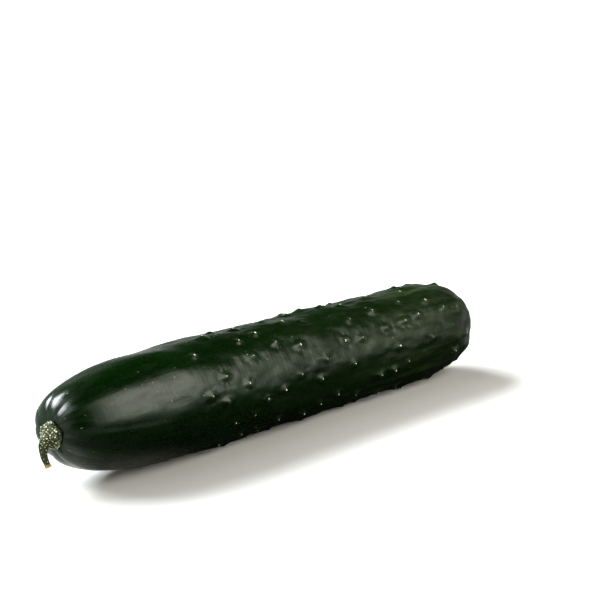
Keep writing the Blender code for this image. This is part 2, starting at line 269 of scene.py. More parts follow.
def fruitMesh(placed):
    # a profile on the XZ plane, spun about X, with a point every step along the skin
    fine = np.linspace(seatAt, fruit["length"], fruit["arcSamples"])
    fineRadius = fruitRadius(fine)
    arc = np.concatenate([[0], np.cumsum(np.hypot(np.diff(fine), np.diff(fineRadius)))])
    stations = np.interp(np.linspace(0, arc[-1], round(arc[-1] / fruit["step"]) + 1), arc, fine)
    bm = bmesh.new()
    profile = [(seatAt, 0.0), (seatAt, 0.5 * fruit["seatRadius"])]
    profile += [(along, float(fruitRadius(along))) for along in stations[:-1]]
    profile.append((fruit["length"], 0.0))
    verts = [bm.verts.new((along, 0, radius)) for along, radius in profile]
    edges = [bm.edges.new(pair) for pair in zip(verts[:-1], verts[1:])]
    bmesh.ops.spin(bm, geom=verts + edges, cent=(0, 0, 0), axis=(1, 0, 0), angle=2 * math.pi,
                   steps=fruit["sides"], use_merge=True)
    bmesh.ops.remove_doubles(bm, verts=bm.verts, dist=0.01 * mm)
    straight = []
    for _, _, _, along, angle in placed:
        radius = float(fruitRadius(along))
        straight.append((along, radius * math.sin(angle), radius * math.cos(angle)))
    straight = np.array(straight)
    for reach in fruit["fineReach"]:                            # finer at each wart, twice
        bm.verts.index_update()
        place = np.array([v.co[:] for v in bm.verts])
        allEdges = list(bm.edges)
        ends = np.array([(e.verts[0].index, e.verts[1].index) for e in allEdges])
        middle = (place[ends[:, 0]] + place[ends[:, 1]]) / 2
        close = np.zeros(len(allEdges), bool)
        for spot in straight:
            close |= ((middle - spot) ** 2 * (0.5, 1, 1)).sum(1) < reach ** 2
        chosen = [allEdges[i] for i in np.flatnonzero(close)]
        bmesh.ops.subdivide_edges(bm, edges=chosen, cuts=1, use_grid_fill=True)
    return bm


def creaseHeight(along, angle):
    (begin, angleThere), (end, angleHere) = fruit["creaseFrom"], fruit["creaseTo"]
    middle = np.interp(along, (begin, end), (angleThere, angleHere))
    turned = (angle - middle + math.pi) % (2 * math.pi) - math.pi
    across = turned * fruitRadius(along)
    fadeIn, fadeOut = fruit["creaseFades"]
    fade = np.clip((along - begin) / fadeIn, 0, 1) * np.clip((end - along) / fadeOut, 0, 1)
    groove = -fruit["creaseDepth"] * np.exp(-((across / fruit["creaseWidth"]) ** 2))
    ridge = fruit["creaseRidge"] * np.exp(-(((across + fruit["ridgeBelow"]) / fruit["creaseWidth"]) ** 2))
    return fade * (groove + ridge)


def raiseSkin(bm, placed):
    # moves each point from the turned shape to the skin, and keeps what the material needs
    place = np.array([v.co[:] for v in bm.verts])
    along = np.clip(place[:, 0], seatAt, fruit["length"])
    angle = np.arctan2(place[:, 1], place[:, 2])
    inSeat = along < seatAt + 0.01 * mm
    reach = np.hypot(place[:, 1], place[:, 2])
    points = skinPoint(along, angle)
    height = skinHeight(along, angle)
    wartHeight, wartTop = wartRelief(points, placed)
    height += wartHeight
    # dents of 2 to 13 mm, longer along the fruit, and shallow on the smooth stalk end
    rough = np.interp(along, fruit["dentAlong"], fruit["dentGrowth"])
    rough = rough * np.minimum(1, reach / fruit["dentFrom"])
    dents = np.array([
        sum(share * noise.noise(Vector((p[0] * length, p[1] * width + shift, p[2] * width)))
            for length, width, shift, share in fruit["dents"])
        for p in points])
    height += fruit["dentHeight"] * rough * dents + creaseHeight(along, angle)
    bulge = np.clip(np.cos(angle - fruit["shoulderAngle"]), 0, 1)
    bulge = bulge * np.where(along < fruit["shoulderEnd"], 1, 0)
    fromShoulder = (reach - fruit["shoulderReach"]) / fruit["shoulderWidth"]
    height += fruit["shoulder"] * bulge * np.exp(-(fromShoulder ** 2))
    moved = points + skinNormal(along, angle) * height[:, None]
    seat = fruitCentre(along) + outward(angle) * reach[:, None]
    moved[inSeat] = seat[inSeat]
    moved[:, 2] = np.maximum(moved[:, 2], 0)
    for vert, to in zip(bm.verts, moved):
        vert.co = to
    return along, angle, reach, wartTop


def setAttribute(mesh, name, *columns):
    attribute = mesh.attributes.new(name, "FLOAT_VECTOR", "POINT")
    attribute.data.foreach_set("vector", np.stack(columns, -1).ravel())


# Waxy epidermis over dark green flesh: a clear, slightly uneven gloss, so a soft-edged mirror
# image of the lamps; the green is nearly black and shows best where no lamp is mirrored.
skinLook = {
    "green": "#061d02", "greenDeep": "#031301", "greenDull": "#111e07", "mottle": "#11360a",
    "streak": "#55693a", "speckle": "#99aa68", "scar": "#8b7a50", "line": "#566250",
    "roughness": (0.20, 0.29), "endRoughness": 0.13, "scuffed": 0.14, "ior": 1.45,
    "patch": 22 * mm, "cell": 1.1 * mm, "cellShare": 0.24, "vein": 1.6 * mm, "veinShare": 0.35,
    "streakWidth": 5.5 * mm, "streakShare": 0.5, "drift": 9 * mm, "cork": 0.8 * mm, "scuff": 3.5 * mm,
    "speckleGap": 2.6 * mm, "speckleSize": 0.30 * mm, "speckleShare": 0.42, "topShare": 0.22,
    "lineReach": 5 * mm, "lineLength": 2.4 * mm,
    "grain": 0.9 * mm, "grainDepth": 0.016 * mm, "dimple": 3.0 * mm, "dimpleDepth": 0.16 * mm,
    "wrinkle": 1.5 * mm, "wrinkleDepth": 0.07 * mm,
}


def skinMaterial():
    material, tree, shader = newMaterial("waxedCucumberSkin")
    green, greenDeep = linearColour(skinLook["green"]), linearColour(skinLook["greenDeep"])
    greenDull, streak = linearColour(skinLook["greenDull"]), linearColour(skinLook["streak"])
    place = addNode(tree, "Attribute", {"attribute_name": "skinPlace"}).outputs["Vector"]
    facts = addNode(tree, "Attribute", {"attribute_name": "skinFacts"}).outputs["Vector"]
    facts = addNode(tree, "SeparateXYZ", {}, {0: facts}).outputs
    along = addNode(tree, "SeparateXYZ", {}, {0: place}).outputs[0]
    # patches about 20 mm wide and 60 mm long
    longPlace = addNode(tree, "Mapping", {"Scale": (0.35, 1, 1)}, {0: place})
    patches = addNode(tree, "TexNoise", {"Scale": 1 / skinLook["patch"], "Detail": 4.0, "Roughness": 0.6},
                      {0: longPlace})
    share = addNode(tree, "MapRange", {"From Min": 0.35, "From Max": 0.68}, {0: patches})
    colour = addNode(tree, "Mix", {"data_type": "RGBA", 6: greenDeep, 7: green}, {0: share})
    dull = addNode(tree, "MapRange", {"From Min": 60 * mm, "From Max": 200 * mm}, {0: along})
    share = addNode(tree, "Math", {"operation": "MULTIPLY", 1: 0.5}, {0: dull})
    colour = addNode(tree, "Mix", {"data_type": "RGBA", 7: greenDull}, {0: share, 6: colour})
    # cells of lighter green, about a millimetre wide
    mottling = addNode(tree, "TexNoise", {"Scale": 1 / skinLook["cell"], "Detail": 2.0}, {0: place})
    share = addNode(tree, "MapRange", {"From Min": 0.52, "From Max": 0.72,
                                       "To Max": skinLook["cellShare"]}, {0: mottling})
    colour = addNode(tree, "Mix", {"data_type": "RGBA", 7: linearColour(skinLook["mottle"])},
                     {0: share, 6: colour})
    # fine lengthways veining, and pale streaks that grow stronger towards the blossom end
    veinPlace = addNode(tree, "Mapping", {"Scale": (0.06, 1, 1)}, {0: place})
    veins = addNode(tree, "TexNoise", {"Scale": 1 / skinLook["vein"], "Detail": 2.0}, {0: veinPlace})
    share = addNode(tree, "MapRange", {"From Min": 0.5, "From Max": 0.75,
                                       "To Max": skinLook["veinShare"]}, {0: veins})
    colour = addNode(tree, "Mix", {"data_type": "RGBA", 7: greenDull}, {0: share, 6: colour})
    streaks = addNode(tree, "TexNoise", {"Scale": 1 / skinLook["streakWidth"], "Detail": 3.0,
                                         "Roughness": 0.55}, {0: veinPlace})
    streaks = addNode(tree, "MapRange", {"From Min": 0.50, "From Max": 0.78,
                                         "To Max": skinLook["streakShare"]}, {0: streaks})
    nearBlossom = addNode(tree, "MapRange", {"From Min": 130 * mm, "From Max": 235 * mm}, {0: along})
    share = addNode(tree, "Math", {"operation": "MULTIPLY"}, {0: streaks, 1: nearBlossom})
    colour = addNode(tree, "Mix", {"data_type": "RGBA", 7: streak}, {0: share, 6: colour})
    # pale speckles, up to 0.8 mm wide, in drifts that run lengthways
    cells = addNode(tree, "TexVoronoi", {"Scale": 1 / skinLook["speckleGap"]}, {0: place})
    draws = addNode(tree, "SeparateXYZ", {}, {0: cells.outputs["Color"]}).outputs
    widest = 1.3 * skinLook["speckleSize"] / skinLook["speckleGap"]
    size = addNode(tree, "Math", {"operation": "MULTIPLY", 1: widest}, {0: draws[0]})
    speck = addNode(tree, "Math", {"operation": "SUBTRACT"}, {0: size, 1: cells.outputs["Distance"]})
    speck = addNode(tree, "MapRange", {"From Min": -0.02, "From Max": 0.03,
                                       "To Max": skinLook["speckleShare"]}, {0: speck})
    drift = addNode(tree, "TexNoise", {"Scale": 1 / skinLook["drift"], "Detail": 2.0}, {0: longPlace})
    drift = addNode(tree, "MapRange", {"From Min": 0.42, "From Max": 0.72, "To Max": 0.8}, {0: drift})
    chance = addNode(tree, "Math", {"operation": "ADD"}, {0: drift, 1: draws[1]})
    chosen = addNode(tree, "Math", {"operation": "GREATER_THAN", 1: 0.9}, {0: chance})
    share = addNode(tree, "Math", {"operation": "MULTIPLY"}, {0: speck, 1: chosen})
    colour = addNode(tree, "Mix", {"data_type": "RGBA", 7: linearColour(skinLook["speckle"])},
                     {0: share, 6: colour})
    # a lighter top on each wart, pale lines in the furrows at the stalk, and the corky scar
    share = addNode(tree, "Math", {"operation": "MULTIPLY", 1: skinLook["topShare"]}, {0: facts[0]})
    colour = addNode(tree, "Mix", {"data_type": "RGBA", 7: streak}, {0: share, 6: colour})
    colour = addNode(tree, "Mix", {"data_type": "RGBA", 7: linearColour(skinLook["line"])},
                     {0: facts[1], 6: colour})
    cork = addNode(tree, "TexNoise", {"Scale": 1 / skinLook["cork"], "Detail": 4.0}, {0: place})
    cork = addNode(tree, "MapRange", {"From Min": 0.3, "From Max": 0.62, "To Min": 0.25}, {0: cork})
    scarShare = addNode(tree, "Math", {"operation": "MULTIPLY"}, {0: facts[2], 1: cork})
    colour = addNode(tree, "Mix", {"data_type": "RGBA", 7: linearColour(skinLook["scar"])},
                     {0: scarShare, 6: colour})
    tree.links.new(colour.outputs[2], shader.inputs["Base Color"])
    # the wax is worn duller in patches, towards the blossom end and on the scar
    low, high = skinLook["roughness"]
    sheen = addNode(tree, "MapRange", {"From Min": 0.3, "From Max": 0.7, "To Min": low, "To Max": high},
                    {0: patches})
    scuffs = addNode(tree, "TexNoise", {"Scale": 1 / skinLook["scuff"], "Detail": 3.0}, {0: longPlace})
    scuffs = addNode(tree, "MapRange", {"From Min": 0.45, "From Max": 0.7, "To Max": skinLook["scuffed"]},
                     {0: scuffs})
    sheen = addNode(tree, "Math", {"operation": "ADD"}, {0: sheen, 1: scuffs})
    endDull = addNode(tree, "Math", {"operation": "MULTIPLY_ADD", 1: skinLook["endRoughness"]},
                      {0: dull, 2: sheen})
    rough = addNode(tree, "Math", {"operation": "MULTIPLY_ADD", 1: 0.5, "use_clamp": True},
                    {0: scarShare, 2: endDull})
    tree.links.new(rough.outputs[0], shader.inputs["Roughness"])
    shader.inputs["IOR"].default_value = skinLook["ior"]
    # bump: dimples of 3 mm, wrinkles that run round the fruit 1.5 mm apart, and a fine grain;
    # the stalk end is smoother
    warty = addNode(tree, "MapRange", {"From Min": 20 * mm, "From Max": 85 * mm, "To Min": 0.5},
                    {0: along})
    dimples = addNode(tree, "TexNoise", {"Scale": 1 / skinLook["dimple"], "Detail": 2.0}, {0: longPlace})
    dimples = addNode(tree, "Math", {"operation": "MULTIPLY"}, {0: dimples, 1: warty})
    roundPlace = addNode(tree, "Mapping", {"Scale": (1, 0.16, 0.16)}, {0: place})
    wrinkles = addNode(tree, "TexNoise", {"Scale": 1 / skinLook["wrinkle"], "Detail": 1.0}, {0: roundPlace})
    wrinkles = addNode(tree, "Math", {"operation": "MULTIPLY"}, {0: wrinkles, 1: warty})
    grain = addNode(tree, "TexNoise", {"Scale": 1 / skinLook["grain"], "Detail": 2.0}, {0: place})
    bump = addNode(tree, "Bump", {"Distance": skinLook["dimpleDepth"]}, {"Height": dimples})
    bump = addNode(tree, "Bump", {"Distance": skinLook["wrinkleDepth"]}, {"Height": wrinkles, "Normal": bump})
    bump = addNode(tree, "Bump", {"Distance": skinLook["grainDepth"]}, {"Height": grain, "Normal": bump})
    tree.links.new(bump.outputs[0], shader.inputs["Normal"])
    return material


placedWarts = placeWarts()
fruitBm = fruitMesh(placedWarts)
along, angle, reach, wartTop = raiseSkin(fruitBm, placedWarts)
bmesh.ops.triangulate(fruitBm, faces=[f for f in fruitBm.faces if len(f.verts) > 4])
bmesh.ops.recalc_face_normals(fruitBm, faces=fruitBm.faces)
fruitPiece = pieceFrom(fruitBm, "fruitSkin", skinMaterial())
unrolled = fruit["radius"]
setAttribute(fruitPiece.data, "skinPlace", along, unrolled * np.sin(angle), unrolled * np.cos(angle))
# pale lines in the furrows close to the stalk, and a scar with an uneven edge
line = np.clip((furrowShare(along, angle) - 0.65) / 0.35, 0, 1)
line = line * np.exp(-((reach - skinLook["lineReach"]) / skinLook["lineLength"]) ** 2)
line = np.where(along < fruit["stalkDome"] / 2, line, 0) * (0.16 + 0.14 * np.cos(angle + 0.6))
scarEdge = (2.5 + 0.25 * np.sin(3 * angle + 1) + 0.2 * np.sin(7 * angle)) * mm
scarNear = np.where(along > fruit["length"] / 2, np.clip((scarEdge + 0.5 * mm - reach) / mm, 0, 1), 0)
setAttribute(fruitPiece.data, "skinFacts", wartTop, line, scarNear)
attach(fruitPiece, "root")
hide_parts("fruit")
print("fruit skin:", len(fruitPiece.data.polygons), "faces,", len(placedWarts), "warts")


# The pale tip left on most warts, where the spine broke off.
tips = {"radius": (0.22 * mm, 0.48 * mm), "sunk": 0.35, "bareChance": 0.15, "seed": 41,
        "clearOfTable": 1.2 * mm, "pale": "#c6cab8", "weathered": "#8a8f6c", "spot": 2.5 * mm}


def tipMaterial():
    # dried spine base: chalky and dull, cream with greyish olive spots
    material, tree, shader = newMaterial("driedSpineBase")
    place = addNode(tree, "TexCoord").outputs["Object"]
    spots = addNode(tree, "TexNoise", {"Scale": 1 / tips["spot"], "Detail": 2.0}, {0: place})
    share = addNode(tree, "MapRange", {"From Min": 0.35, "From Max": 0.65}, {0: spots})
    colour = addNode(tree, "Mix", {"data_type": "RGBA", 6: linearColour(tips["pale"]),
                                   7: linearColour(tips["weathered"])}, {0: share})
    tree.links.new(colour.outputs[2], shader.inputs["Base Color"])
    shader.inputs["Roughness"].default_value = 0.55
    return material


def tipMesh(placed):
    surface = BVHTree.FromObject(fruitPiece, bpy.context.evaluated_depsgraph_get())
    draw = random.Random(tips["seed"])
    bm = bmesh.new()
    for middle, normal, _, _, _ in placed:
        radius = draw.uniform(*tips["radius"])
        squash, spin = draw.uniform(0.55, 0.9), draw.uniform(0, math.pi)
        if draw.random() < tips["bareChance"] or middle[2] < tips["clearOfTable"]:
            continue
        start = Vector(middle) + Vector(normal) * 4 * mm
        hit = surface.ray_cast(start, -Vector(normal))[0]
        turn = Vector((0, 0, 1)).rotation_difference(Vector(normal)).to_matrix().to_4x4()
        size = Matrix.Diagonal((radius * 1.25, radius, radius * squash, 1))
        seat = Matrix.Translation(hit - Vector(normal) * radius * tips["sunk"])
        bmesh.ops.create_uvsphere(bm, u_segments=8, v_segments=5, radius=1,
                                  matrix=seat @ turn @ Matrix.Rotation(spin, 4, "Z") @ size)
    return bm


tipPiece = pieceFrom(tipMesh(placedWarts), "spineTips", tipMaterial())
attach(tipPiece, "root")
print("spine tips:", len(tipPiece.data.polygons), "faces")


# The stalk: a swollen ribbed base and a drooping stub, grown together.
stalk = {
    "sink": 0.5 * mm, "shift": Vector((0.0, -1.5, -0.4)) * mm,
    "base": ((0.0, 4.9), (0.6, 5.2), (1.3, 5.1), (2.0, 4.5), (2.6, 3.5), (3.0, 2.1), (3.15, 0.9)),
    "stub": (((-1.3, -1.2, -1.2), 2.3), ((-2.8, -1.2, -1.8), 2.3), ((-4.0, -1.3, -3.1), 1.95),
             ((-4.4, -1.3, -4.7), 1.65), ((-4.4, -1.4, -6.4), 1.42), ((-4.2, -1.7, -8.2), 1.27),
             ((-3.9, -2.2, -9.7), 1.17), ((-3.6, -2.8, -11.0), 1.18), ((-3.5, -3.1, -11.7), 1.38)),
    "ribs": 5, "ribShare": 0.06, "baseSides": 60, "ringPoints": 40, "voxel": 0.16 * mm,
    "wartRadius": (0.17 * mm, 0.46 * mm), "wartSpacing": (0.75 * mm, 1.2 * mm), "wartTries": 16800,
    "seed": 5, "baseBottom": 3.8 * mm, "stubWartRadius": 0.62, "stubWartSpacing": 1.5,
    "smoothings": 4, "lumpHeight": 0.10 * mm, "lump": 1.3 * mm, "cutReach": 1.9 * mm,
    "blotch": 1.8 * mm, "rustSpot": 2.6 * mm, "cutGrain": 0.9 * mm, "fibre": 0.5 * mm,
    "fibreDepth": 0.09 * mm, "beadSpot": 1.3 * mm,
    "dark": "#0d1704", "olive": "#3a4812", "rust": "#55431c", "stubBrown": "#262b0c",
    "paleUnderside": "#b3ac8a", "cutBrown": "#7d6230", "cutPale": "#cdbb86",
    # beadOliveAndShade is the beads' own olive and also their painted shade
    "beadPale": "#dedec2", "beadOliveAndShade": "#3f4c1c",
}
stalkRoot = Vector(fruitCentre(np.float64(seatAt)).tolist()) - Vector((0.3 * mm, 0, 0))
cutEnd = stalkRoot + Vector(stalk["stub"][-1][0]) * mm


def ribSwell(angle):
    return 1 + stalk["ribShare"] * math.cos(stalk["ribs"] * angle)


def stalkMesh():
    bm = bmesh.new()
    profile = [(stalk["sink"], 0.0), (stalk["sink"], stalk["base"][0][1] * mm)]
    profile += [(-distance * mm, radius * mm) for distance, radius in stalk["base"]]
    profile.append((-stalk["base"][-1][0] * mm, 0.0))
    verts = [bm.verts.new((x, 0, radius)) for x, radius in profile]
    edges = [bm.edges.new(pair) for pair in zip(verts[:-1], verts[1:])]
    bmesh.ops.spin(bm, geom=verts + edges, cent=(0, 0, 0), axis=(1, 0, 0), angle=2 * math.pi,
                   steps=stalk["baseSides"], use_merge=True)
    bmesh.ops.remove_doubles(bm, verts=bm.verts, dist=0.001 * mm)
    for vert in bm.verts:
        swell = ribSwell(math.atan2(vert.co.y, vert.co.z))
        vert.co = stalkRoot + stalk["shift"] + Vector((vert.co.x, vert.co.y * swell, vert.co.z * swell))
    bmesh.ops.recalc_face_normals(bm, faces=bm.faces)
    return bm


def stubMesh():
    # a ribbed ring scaled along a smooth line, made a mesh at once
    ring = bpy.data.curves.new("stubRing", "CURVE")
    ring.dimensions = "2D"
    spline = ring.splines.new("POLY")
    spline.points.add(stalk["ringPoints"] - 1)
    for i, point in enumerate(spline.points):
        angle = 2 * math.pi * i / stalk["ringPoints"]
        point.co = (ribSwell(angle) * math.cos(angle), ribSwell(angle) * math.sin(angle), 0, 1)
    spline.use_cyclic_u = True
    ringObject = bpy.data.objects.new("stubRing", ring)
    bpy.context.scene.collection.objects.link(ringObject)
    line = bpy.data.curves.new("stubLine", "CURVE")
    line.dimensions = "3D"
    line.resolution_u = 8
    line.bevel_mode = "OBJECT"
    line.bevel_object = ringObject
    line.use_fill_caps = True
    path = line.splines.new("BEZIER")
    path.bezier_points.add(len(stalk["stub"]) - 1)
    for point, (place, radius) in zip(path.bezier_points, stalk["stub"]):
        point.co = stalkRoot + Vector(place) * mm
        point.radius = radius * mm
        point.handle_left_type = point.handle_right_type = "AUTO"
    lineObject = bpy.data.objects.new("stubLine", line)
    bpy.context.scene.collection.objects.link(lineObject)
    bpy.context.view_layer.update()
    mesh = bpy.data.meshes.new_from_object(lineObject.evaluated_get(bpy.context.evaluated_depsgraph_get()))
    bpy.data.objects.remove(lineObject)
    bpy.data.objects.remove(ringObject)
    return mesh


def stalkMaterial():
    # dry stalk: dark olive, dull and woody, rusty in places, pale on the faces that look down next to the
    # fruit, tan where cut
    material, tree, shader = newMaterial("dryWartyStalk")
    place = addNode(tree, "TexCoord").outputs["Object"]
    facts = addNode(tree, "Attribute", {"attribute_name": "stalkFacts"}).outputs["Vector"]
    facts = addNode(tree, "SeparateXYZ", {}, {0: facts}).outputs
    blotches = addNode(tree, "TexNoise", {"Scale": 1 / stalk["blotch"], "Detail": 4.0}, {0: place})
    share = addNode(tree, "MapRange", {"From Min": 0.40, "From Max": 0.68}, {0: blotches})
    colour = addNode(tree, "Mix", {"data_type": "RGBA", 6: linearColour(stalk["dark"]),
                                   7: linearColour(stalk["olive"])}, {0: share})
    rust = addNode(tree, "TexNoise", {"Scale": 1 / stalk["rustSpot"], "Detail": 3.0}, {0: place})
    share = addNode(tree, "MapRange", {"From Min": 0.56, "From Max": 0.70, "To Max": 0.5}, {0: rust})
    colour = addNode(tree, "Mix", {"data_type": "RGBA", 7: linearColour(stalk["rust"])},
                     {0: share, 6: colour})
    share = addNode(tree, "Math", {"operation": "MULTIPLY", 1: 0.7}, {0: facts[1]})
    colour = addNode(tree, "Mix", {"data_type": "RGBA", 7: linearColour(stalk["stubBrown"])},
                     {0: share, 6: colour})
    # paler, in blotches, where the stalk faces down next to the fruit
    paleUnderside = addNode(tree, "MapRange", {"From Min": 0.35, "From Max": 0.6, "To Max": 0.85}, {0: blotches})
    share = addNode(tree, "Math", {"operation": "MULTIPLY"}, {0: facts[2], 1: paleUnderside})
    colour = addNode(tree, "Mix", {"data_type": "RGBA", 7: linearColour(stalk["paleUnderside"])},
                     {0: share, 6: colour})
    grain = addNode(tree, "TexNoise", {"Scale": 1 / stalk["cutGrain"], "Detail": 3.0}, {0: place})
    share = addNode(tree, "MapRange", {"From Min": 0.4, "From Max": 0.62}, {0: grain})
    cut = addNode(tree, "Mix", {"data_type": "RGBA", 6: linearColour(stalk["cutBrown"]),
                                7: linearColour(stalk["cutPale"])}, {0: share})
    colour = addNode(tree, "Mix", {"data_type": "RGBA"}, {0: facts[0], 6: colour, 7: cut})
    tree.links.new(colour.outputs[2], shader.inputs["Base Color"])
    shader.inputs["Roughness"].default_value = 0.7
    fibres = addNode(tree, "TexNoise", {"Scale": 1 / stalk["fibre"], "Detail": 3.0}, {0: place})
    bump = addNode(tree, "Bump", {"Distance": stalk["fibreDepth"]}, {"Height": fibres})
    tree.links.new(bump.outputs[0], shader.inputs["Normal"])
    return material


def grownTogether(material):
    # base and stub voxelised into one skin, then smoothed and made a little lumpy
    bm = stalkMesh()
    bm.from_mesh(stubMesh())
    bmesh.ops.recalc_face_normals(bm, faces=bm.faces)
    piece = pieceFrom(bm, "stalkRough", material)
    remesh = piece.modifiers.new("grow", "REMESH")
    remesh.mode = "VOXEL"
    remesh.voxel_size = stalk["voxel"]
    bpy.context.view_layer.update()
    mesh = bpy.data.meshes.new_from_object(piece.evaluated_get(bpy.context.evaluated_depsgraph_get()))
    bpy.data.objects.remove(piece)
    bm = bmesh.new()
    bm.from_mesh(mesh)
    for _ in range(stalk["smoothings"]):
        bmesh.ops.smooth_vert(bm, verts=bm.verts, factor=0.5, use_axis_x=True, use_axis_y=True,
                              use_axis_z=True)
    for vert in bm.verts:
        vert.co += vert.normal * stalk["lumpHeight"] * noise.noise(vert.co / stalk["lump"])
    return bm


dryStalk = stalkMaterial()
stalkPiece = pieceFrom(grownTogether(dryStalk), "stalkSkin", dryStalk)
# how much each point belongs to the cut end, the brown stub and the pale part that faces down next to the
# fruit
stalkPlaces = np.array([v.co[:] for v in stalkPiece.data.vertices])
fromCut = np.linalg.norm(stalkPlaces - np.array(cutEnd), axis=1)
cutShare = np.clip((stalk["cutReach"] - fromCut) / (0.7 * mm), 0, 1)
stubShare = np.clip((stalkRoot.z - stalkPlaces[:, 2] - 5.0 * mm) / (2 * mm), 0, 1)
facingDown = -np.array([v.normal.z for v in stalkPiece.data.vertices])
paleUndersideShare = np.clip((facingDown - 0.2) / 0.5, 0, 1) * np.clip(
    (stalkPlaces[:, 0] - stalkRoot.x + 2.2 * mm) / (0.8 * mm), 0, 1)
setAttribute(stalkPiece.data, "stalkFacts", cutShare, stubShare, paleUndersideShare)
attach(stalkPiece, "root")
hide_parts("stalk")
print("stalk skin:", len(stalkPiece.data.polygons), "faces")


def stalkWartMaterial():
    # spine base gone dry and chalky: cream where it weathered, olive where it didn't, dull;
    # painted shade makes olive more common on the side away from the key light
    material, tree, shader = newMaterial("chalkyStalkWart")
    place = addNode(tree, "TexCoord").outputs["Object"]
    spots = addNode(tree, "TexNoise", {"Scale": 1 / stalk["beadSpot"], "Detail": 2.0}, {0: place})
    # painted shade: the beads on the side away from the key light turn olive more often
    side = addNode(tree, "SeparateXYZ", {}, {0: place}).outputs["Y"]
    paintedShadeSide = addNode(tree, "MapRange", {"From Min": -3 * mm, "From Max": -7 * mm, "To Max": 0.05}, {0: side})
    spots = addNode(tree, "Math", {"operation": "ADD"}, {0: spots, 1: paintedShadeSide})
    share = addNode(tree, "MapRange", {"From Min": 0.46, "From Max": 0.60}, {0: spots})
    colour = addNode(tree, "Mix", {"data_type": "RGBA", 6: linearColour(stalk["beadPale"]),
                                   7: linearColour(stalk["beadOliveAndShade"])}, {0: share})
    tree.links.new(colour.outputs[2], shader.inputs["Base Color"])
    shader.inputs["Roughness"].default_value = 0.5
    return material


def stalkWartMesh():
    mesh = stalkPiece.data
    draw = random.Random(stalk["seed"])
    faces = list(mesh.polygons)
    tries = draw.choices(faces, weights=[f.area for f in faces], k=stalk["wartTries"])
    bm = bmesh.new()
    placed = []
    for face in tries:
        radius = draw.uniform(*stalk["wartRadius"])
        spacing, squash = draw.uniform(*stalk["wartSpacing"]), draw.uniform(0.7, 1.1)
        if stalkRoot.z - face.center.z > stalk["baseBottom"]:   # finer and fewer on the stub
            radius, spacing = stalk["stubWartRadius"] * radius, stalk["stubWartSpacing"] * spacing
        nearSeat = stalkRoot.x - face.center.x < 0.25 * mm
        if nearSeat or (face.center - cutEnd).length < stalk["cutReach"]:
            continue
        if any((face.center - other).length < spacing for other in placed):
            continue
        placed.append(face.center.copy())
        turn = Vector((0, 0, 1)).rotation_difference(face.normal).to_matrix().to_4x4()
        size = Matrix.Diagonal((radius, radius * 0.85, radius * squash, 1))
        seat = Matrix.Translation(face.center - face.normal * radius * 0.25)
        spin = Matrix.Rotation(draw.uniform(0, math.pi), 4, "Z")
        bmesh.ops.create_uvsphere(bm, u_segments=8, v_segments=6, radius=1,
                                  matrix=seat @ turn @ spin @ size)
    print("stalk warts:", len(placed))
    return bm


stalkWartPiece = pieceFrom(stalkWartMesh(), "stalkWarts", stalkWartMaterial())
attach(stalkWartPiece, "root")


# Table, lamps and room; the lamps stand where the photograph's highlights put them.
stage = {
    "floorHex": "#cfcfcc", "mirroredHex": "#8f8f8c", "floorSize": 14.0,
    # each ellipse: a point of the table maps to 1 on its rim
    # painted shade: a near-black soft ellipse in front of the fruit, on the table that only the gloss sees
    "paintedShadeHex": "#141412", "paintedShadeShift": (-0.13, 0.68, 0), "paintedShadeScale": (4.4, 8.0, 1.0),
    # painted light: a pale soft ellipse under the stalk on that table, a pool of light
    "paintedLightHex": "#c4c4be", "spotShift": (1.74, -0.19, 0), "spotScale": (15.0, 25.0, 1.0),
    # lamps far off: azimuth, height in degrees, size in metres, watts, colour, what it lights;
    # the gloss sees the key light as three that fade together, mostly towards the stalk's side
    "farAway": 4.0,
    "farLamps": {"keySoftbox": (112, 42, (3.3, 1.9), 470, "#f6faff", "matt"),
                 "keyEdge": (123, 42, (3.7, 2.1), 175, "#f6faff", "gloss"),
                 "keyMiddle": (119, 41, (3.0, 1.7), 125, "#f6faff", "gloss"),
                 "keyCore": (115, 40, (2.0, 1.1), 50, "#f6faff", "gloss"),
                 "hairLight": (165, 57, (2.2, 1.3), 24, "#f6faff", "both")},
    # panels in front: place, size, watts, colour and what it lights; the gloss sees three that
    # fade together as the key light does, matt surfaces see one, and a dim one is for both
    "panels": (((0.172, -0.375, 0.330), (0.285, 0.34), 0.62, "#fffbf2", "gloss"),
               ((0.135, -0.377, 0.345), (0.41, 0.50), 1.08, "#fffbf2", "gloss"),
               ((0.10, -0.384, 0.349), (0.60, 0.65), 1.08, "#fffbf2", "gloss"),
               ((0.10, -0.424, 0.295), (0.50, 0.50), 2.90, "#fffbf2", "matt"),
               ((0.385, -0.355, 0.295), (0.10, 0.52), 0.14, "#fffbf2", "both")),
    "panelAim": (-0.08, 0.40, -0.265),
    # how bright the room is at each height, from straight down at -1 to straight up at 1
    "room": ((-1.0, 0.46), (0.14, 0.46), (0.42, 0.020), (1.0, 0.006)),
    "wallTowards": (-0.951, 0.168, 0.259), "wallSpread": (0.72, 0.90), "wallGlow": 0.65,
    "unlitTowards": (-0.57, -0.82, 0.05), "unlitSpread": (0.45, 0.85), "unlitShare": 0.05,
    "cameraAt": (-0.5568, -0.55026, 0.25591), "cameraAim": (0.70236, 0.66475, -0.25457), "lens": 117.65,
}


